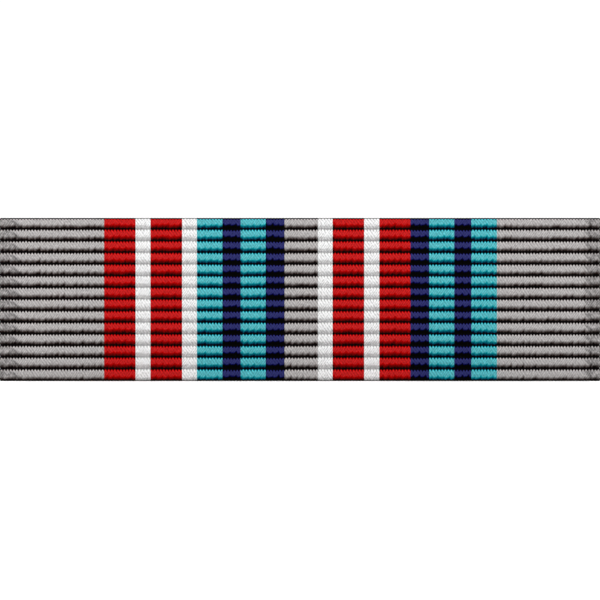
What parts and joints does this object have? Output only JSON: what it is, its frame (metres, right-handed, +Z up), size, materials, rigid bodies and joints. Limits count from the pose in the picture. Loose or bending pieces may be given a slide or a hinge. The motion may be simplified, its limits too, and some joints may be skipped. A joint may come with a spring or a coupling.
{
  "type": "service ribbon bar",
  "caption": "Striped woven ribbon wrapped on a folded brass carrier, which slides along a mount bar held to a garment by pointed posts and butterfly clutches.",
  "frame": {"origin": "middle of the mount bar's back face, where it meets the garment", "axes": "+X along the ribbon, to the right as seen from the front; +Y out of the back along the posts; +Z up as worn"},
  "size_m": [0.035, 0.0107, 0.0096],
  "materials": {
    "ribbon": "ribbed woven ribbon in vertical stripes",
    "carrier_brass": "rolled sheet, satin",
    "bar_brass": "stamped sheet, dull",
    "post_steel": "turned, nickel plated",
    "clutch_brass": "stamped, bright",
    "spring_brass": "spring sheet, bright"
  },
  "bodies": {
    "mount": {"mount_bar": "bar_brass", "left_post": "post_steel", "right_post": "post_steel"},
    "ribbon_unit": {"ribbon": "ribbon", "ribbon_carrier": "carrier_brass"},
    "left_base": {"left_clutch_base": "clutch_brass"},
    "left_clip": {"left_clip_web": "spring_brass"},
    "left_upper": {"left_upper_wing": "spring_brass"},
    "left_lower": {"left_lower_wing": "spring_brass"},
    "right_base": {"right_clutch_base": "clutch_brass"},
    "right_clip": {"right_clip_web": "spring_brass"},
    "right_upper": {"right_upper_wing": "spring_brass"},
    "right_lower": {"right_lower_wing": "spring_brass"}
  },
  "joints": [
    {"name": "ribbon_slide", "type": "slide", "parent": "mount", "child": "ribbon_unit", "axis": [1, 0, 0], "range_m": [-0.035, 0.035]},
    {"name": "left_clutch_slide", "type": "slide", "parent": "mount", "child": "left_base", "axis": [0, 1, 0], "range_m": [-0.0019, 0.0085]},
    {"name": "left_clip_swivel", "type": "hinge", "parent": "left_base", "child": "left_clip", "pos_m": [-0.01111, 0.0033, 0], "axis": [0, 1, 0], "continuous": true},
    {"name": "left_upper_squeeze", "type": "hinge", "parent": "left_clip", "child": "left_upper", "pos_m": [-0.01401, 0.00412, 0], "axis": [0, 0, 1], "range_deg": [0, 7], "stiffness_Nm_per_rad": 0.003, "springref_deg": -5.73},
    {"name": "left_lower_squeeze", "type": "hinge", "parent": "left_clip", "child": "left_lower", "pos_m": [-0.00821, 0.00387, 0], "axis": [0, 0, -1], "range_deg": [0, 7], "stiffness_Nm_per_rad": 0.003, "springref_deg": -5.73},
    {"name": "right_clutch_slide", "type": "slide", "parent": "mount", "child": "right_base", "axis": [0, 1, 0], "range_m": [-0.0019, 0.0085]},
    {"name": "right_clip_swivel", "type": "hinge", "parent": "right_base", "child": "right_clip", "pos_m": [0.01111, 0.0033, 0], "axis": [0, 1, 0], "continuous": true},
    {"name": "right_upper_squeeze", "type": "hinge", "parent": "right_clip", "child": "right_upper", "pos_m": [0.00821, 0.00412, 0], "axis": [0, 0, 1], "range_deg": [0, 7], "stiffness_Nm_per_rad": 0.003, "springref_deg": -5.73},
    {"name": "right_lower_squeeze", "type": "hinge", "parent": "right_clip", "child": "right_lower", "pos_m": [0.01401, 0.00387, 0], "axis": [0, 0, -1], "range_deg": [0, 7], "stiffness_Nm_per_rad": 0.003, "springref_deg": -5.73}
  ],
  "couplings": [
    {"joint": "left_lower_squeeze", "follows": "left_upper_squeeze", "ratio": 1},
    {"joint": "right_lower_squeeze", "follows": "right_upper_squeeze", "ratio": 1}
  ]
}
